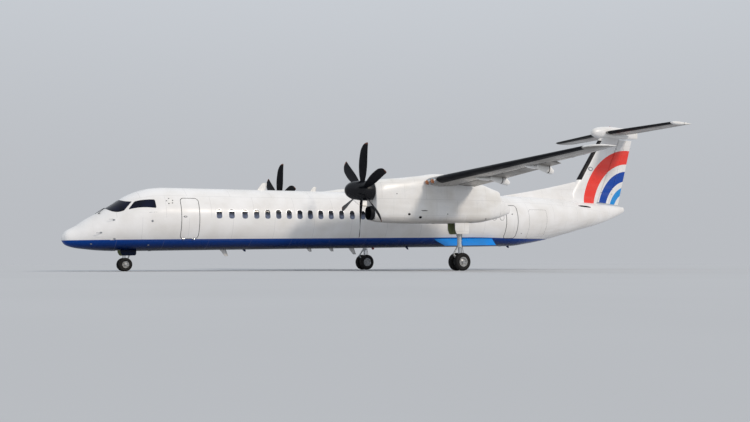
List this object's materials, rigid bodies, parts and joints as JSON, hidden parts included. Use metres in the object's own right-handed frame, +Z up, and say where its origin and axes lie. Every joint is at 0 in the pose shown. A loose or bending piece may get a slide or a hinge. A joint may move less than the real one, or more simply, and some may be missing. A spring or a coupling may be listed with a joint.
{
  "type": "turboprop airliner",
  "caption": "High-wing airliner with turboprop engines under the wing, swept-tip propellers, a T-tail and landing gear down",
  "frame": {"origin": "centre of the bounding box's base, on the floor under the wheels", "axes": "+X aft, +Y starboard (the aircraft's right), +Z up; the nose points to -X"},
  "size_m": [32.7032, 28.42, 8.3407],
  "materials": {
    "white_paint": "gloss white paint",
    "grey_paint": "satin grey paint",
    "navy_paint": "gloss dark blue paint",
    "black_paint": "satin black paint",
    "bare_steel": "machined and painted steel",
    "engine_casting": "plain block",
    "tyre_rubber": "black tyre rubber"
  },
  "bodies": {
    "airframe": {"radome": "white_paint", "fuselage_forward": "white_paint", "fuselage_cabin": "white_paint", "fuselage_aft": "white_paint", "tail_cone": "white_paint", "wing_fairing": "white_paint", "wing_centre": "grey_paint", "dorsal_fin": "white_paint", "fin": "white_paint", "bullet_fairing": "white_paint", "tailplane": "grey_paint", "nose_leg_upper": "bare_steel", "wing_left": "grey_paint", "cowl_left": "white_paint", "engine_left": "engine_casting", "nacelle_aft_left": "white_paint", "strake_left": "navy_paint", "main_leg_left": "bare_steel", "nose_gear_door_left": "white_paint", "main_gear_door_left_inner": "white_paint", "main_gear_door_left_outer": "white_paint", "wing_right": "grey_paint", "cowl_right": "white_paint", "engine_right": "engine_casting", "nacelle_aft_right": "white_paint", "strake_right": "navy_paint", "main_leg_right": "bare_steel", "nose_gear_door_right": "white_paint", "main_gear_door_right_inner": "white_paint", "main_gear_door_right_outer": "white_paint"},
    "airstair_door": {"airstair_door": "white_paint"},
    "nose_steering": {"nose_leg_lower": "bare_steel"},
    "nose_wheels": {"nose_axle": "bare_steel", "nose_tyre_left": "tyre_rubber", "nose_tyre_right": "tyre_rubber"},
    "rudder_fore": {"rudder_fore": "white_paint"},
    "rudder_trailing": {"rudder_trailing": "white_paint"},
    "propeller_left": {"propeller_left": "black_paint", "spinner_left": "black_paint"},
    "main_wheels_left": {"main_axle_left": "bare_steel", "main_tyre_left_inner": "tyre_rubber", "main_tyre_left_outer": "tyre_rubber"},
    "aileron_left": {"aileron_left": "grey_paint"},
    "flap_inner_left": {"flap_inner_left": "grey_paint"},
    "flap_outer_left": {"flap_outer_left": "grey_paint"},
    "elevator_left": {"elevator_left": "grey_paint"},
    "propeller_right": {"propeller_right": "black_paint", "spinner_right": "black_paint"},
    "main_wheels_right": {"main_axle_right": "bare_steel", "main_tyre_right_inner": "tyre_rubber", "main_tyre_right_outer": "tyre_rubber"},
    "aileron_right": {"aileron_right": "grey_paint"},
    "flap_inner_right": {"flap_inner_right": "grey_paint"},
    "flap_outer_right": {"flap_outer_right": "grey_paint"},
    "elevator_right": {"elevator_right": "grey_paint"}
  },
  "joints": [
    {"name": "nose_steering_turn", "type": "hinge", "parent": "airframe", "child": "nose_steering", "pos_m": [-13.87771, 0, 0.28], "axis": [0, 0, 1], "range_deg": [-70, 70]},
    {"name": "nose_wheels_spin", "type": "hinge", "parent": "nose_steering", "child": "nose_wheels", "pos_m": [-13.87771, 0, 0.28], "axis": [0, 1, 0], "continuous": true},
    {"name": "airstair_door_hinge", "type": "hinge", "parent": "airframe", "child": "airstair_door", "pos_m": [-11.46981, -1.04, 1.36039], "axis": [0.9998, 0, 0.0209], "range_deg": [0, 128]},
    {"name": "rudder_fore_hinge", "type": "hinge", "parent": "airframe", "child": "rudder_fore", "pos_m": [13.89409, 0, 5.73203], "axis": [0.4379, 0, 0.899], "range_deg": [-18, 18]},
    {"name": "rudder_trailing_hinge", "type": "hinge", "parent": "rudder_fore", "child": "rudder_trailing", "pos_m": [14.64218, 0, 5.7477], "axis": [0.371, 0, 0.9286], "range_deg": [-18, 18]},
    {"name": "propeller_left_spin", "type": "hinge", "parent": "airframe", "child": "propeller_left", "pos_m": [-5.0017, -4.4, 3.4283], "axis": [0.9998, 0, 0.0209], "continuous": true},
    {"name": "main_wheels_left_spin", "type": "hinge", "parent": "airframe", "child": "main_wheels_left", "pos_m": [0.06271, -4.4, 0.406], "axis": [0, 1, 0], "continuous": true},
    {"name": "aileron_left_hinge", "type": "hinge", "parent": "airframe", "child": "aileron_left", "pos_m": [-0.47674, -12.365, 4.38795], "axis": [0.0111, 0.9983, -0.0568], "range_deg": [-18, 18]},
    {"name": "flap_inner_left_hinge", "type": "hinge", "parent": "airframe", "child": "flap_inner_left", "pos_m": [-0.39583, -2.6, 3.67381], "axis": [0, 1, 0], "range_deg": [-12, 23]},
    {"name": "flap_outer_left_hinge", "type": "hinge", "parent": "airframe", "child": "flap_outer_left", "pos_m": [-0.40106, -8.039, 3.92378], "axis": [0.0014, 0.9976, -0.0685], "range_deg": [-12, 23]},
    {"name": "elevator_left_hinge", "type": "hinge", "parent": "airframe", "child": "elevator_left", "pos_m": [14.95924, -2.4825, 7.96733], "axis": [-0.0425, 0.9991, -0.0009], "range_deg": [-22, 18]},
    {"name": "propeller_right_spin", "type": "hinge", "parent": "airframe", "child": "propeller_right", "pos_m": [-5.0017, 4.4, 3.4283], "axis": [0.9998, 0, 0.0209], "continuous": true},
    {"name": "main_wheels_right_spin", "type": "hinge", "parent": "airframe", "child": "main_wheels_right", "pos_m": [0.06271, 4.4, 0.406], "axis": [0, 1, 0], "continuous": true},
    {"name": "aileron_right_hinge", "type": "hinge", "parent": "airframe", "child": "aileron_right", "pos_m": [-0.47674, 12.365, 4.38795], "axis": [-0.0111, 0.9983, 0.0568], "range_deg": [-18, 18]},
    {"name": "flap_inner_right_hinge", "type": "hinge", "parent": "airframe", "child": "flap_inner_right", "pos_m": [-0.39583, 2.6, 3.67381], "axis": [0, 1, 0], "range_deg": [-12, 23]},
    {"name": "flap_outer_right_hinge", "type": "hinge", "parent": "airframe", "child": "flap_outer_right", "pos_m": [-0.40106, 8.039, 3.92378], "axis": [-0.0014, 0.9976, 0.0685], "range_deg": [-12, 23]},
    {"name": "elevator_right_hinge", "type": "hinge", "parent": "airframe", "child": "elevator_right", "pos_m": [14.95924, 2.4825, 7.96733], "axis": [0.0425, 0.9991, 0.0009], "range_deg": [-22, 18]}
  ],
  "couplings": [
    {"joint": "rudder_trailing_hinge", "follows": "rudder_fore_hinge", "ratio": 1},
    {"joint": "aileron_right_hinge", "follows": "aileron_left_hinge", "ratio": -1},
    {"joint": "elevator_right_hinge", "follows": "elevator_left_hinge", "ratio": 1},
    {"joint": "flap_inner_right_hinge", "follows": "flap_inner_left_hinge", "ratio": 1},
    {"joint": "flap_outer_left_hinge", "follows": "flap_inner_left_hinge", "ratio": 1},
    {"joint": "flap_outer_right_hinge", "follows": "flap_inner_left_hinge", "ratio": 1}
  ]
}
